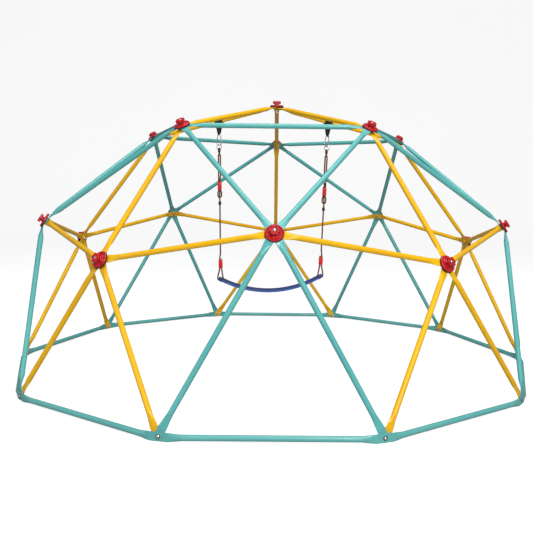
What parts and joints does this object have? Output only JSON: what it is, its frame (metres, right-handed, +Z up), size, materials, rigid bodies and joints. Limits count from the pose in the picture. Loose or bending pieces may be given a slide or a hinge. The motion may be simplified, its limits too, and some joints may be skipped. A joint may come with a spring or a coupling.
{
  "type": "dome climber",
  "caption": "Geodesic tube climbing dome with round hub caps and a belt swing hung inside it on webbing straps, hooks, rings and sleeved ropes.",
  "frame": {"origin": "on the ground at the centre of the dome, level with the lower edge of the ground joints", "axes": "+Z up; +X towards a ground joint, the line between the two opposite ground joints; the swing hangs between the two rear apex tubes and faces -Y"},
  "size_m": [2.9982, 2.8885, 1.5505],
  "materials": {
    "tube_yellow": "gloss powder coat",
    "tube_teal": "gloss powder coat",
    "cap_red": "gloss",
    "gasket_black": "matt",
    "zinc_hardware": "zinc plated",
    "washer_black": "matt",
    "webbing_black": "woven",
    "hook_steel": "bright zinc",
    "rope_brown": "twisted",
    "sleeve_red": "gloss",
    "seat_blue": "satin moulded"
  },
  "bodies": {
    "root": {"ground_ring_tubes": "tube_teal", "lower_brace_tubes": "tube_teal", "upper_brace_tubes": "tube_teal", "top_ring_tubes": "tube_teal", "apex_tubes": "tube_yellow", "upper_tubes": "tube_yellow", "star_tubes": "tube_yellow", "leg_tubes": "tube_yellow", "star_caps": "cap_red", "cap_gaskets": "gasket_black", "hub_bolts": "zinc_hardware", "hub_washers": "zinc_hardware", "hub_nuts": "zinc_hardware", "ground_bolts": "zinc_hardware", "ground_bolt_washers": "washer_black", "ground_inner_washers": "zinc_hardware", "ground_nuts": "zinc_hardware", "left_strap": "webbing_black", "right_strap": "webbing_black"},
    "left_hook": {"left_hook_frame": "hook_steel", "left_gate_pin": "hook_steel"},
    "left_gate": {"left_gate": "hook_steel"},
    "left_rope": {"left_ring": "hook_steel", "left_rope": "rope_brown", "left_upper_sleeve": "sleeve_red", "left_lower_sleeve": "sleeve_red"},
    "right_hook": {"right_hook_frame": "hook_steel", "right_gate_pin": "hook_steel"},
    "right_gate": {"right_gate": "hook_steel"},
    "right_rope": {"right_ring": "hook_steel", "right_rope": "rope_brown", "right_upper_sleeve": "sleeve_red", "right_lower_sleeve": "sleeve_red"},
    "seat": {"belt_seat": "seat_blue"}
  },
  "joints": [
    {"name": "left_hook_swing", "type": "hinge", "parent": "root", "child": "left_hook", "pos_m": [-0.352, 0.113, 1.359], "axis": [1, 0, 0], "range_deg": [-40, 40]},
    {"name": "right_hook_swing", "type": "hinge", "parent": "root", "child": "right_hook", "pos_m": [0.312, 0.113, 1.359], "axis": [1, 0, 0], "range_deg": [-40, 40]},
    {"name": "left_rope_bend", "type": "hinge", "parent": "left_hook", "child": "left_rope", "pos_m": [-0.35061, 0.113, 1.29421], "axis": [1, 0, 0], "range_deg": [-15, 15]},
    {"name": "right_rope_bend", "type": "hinge", "parent": "right_hook", "child": "right_rope", "pos_m": [0.30959, 0.113, 1.29424], "axis": [1, 0, 0], "range_deg": [-15, 15]},
    {"name": "seat_rock", "type": "hinge", "parent": "left_rope", "child": "seat", "pos_m": [-0.31717, 0.113, 0.46058], "axis": [0.9992, 0, 0.0409], "range_deg": [-15, 15]},
    {"name": "left_gate_open", "type": "hinge", "parent": "left_hook", "child": "left_gate", "pos_m": [-0.34221, 0.11046, 1.34431], "axis": [0.2588, 0.9659, 0.0056], "range_deg": [0, 25]},
    {"name": "right_gate_open", "type": "hinge", "parent": "right_hook", "child": "right_gate", "pos_m": [0.32091, 0.11554, 1.34376], "axis": [-0.2586, 0.9659, 0.0096], "range_deg": [0, 25]}
  ],
  "couplings": [
    {"joint": "right_hook_swing", "follows": "left_hook_swing", "ratio": 1},
    {"joint": "right_rope_bend", "follows": "left_rope_bend", "ratio": 1}
  ]
}
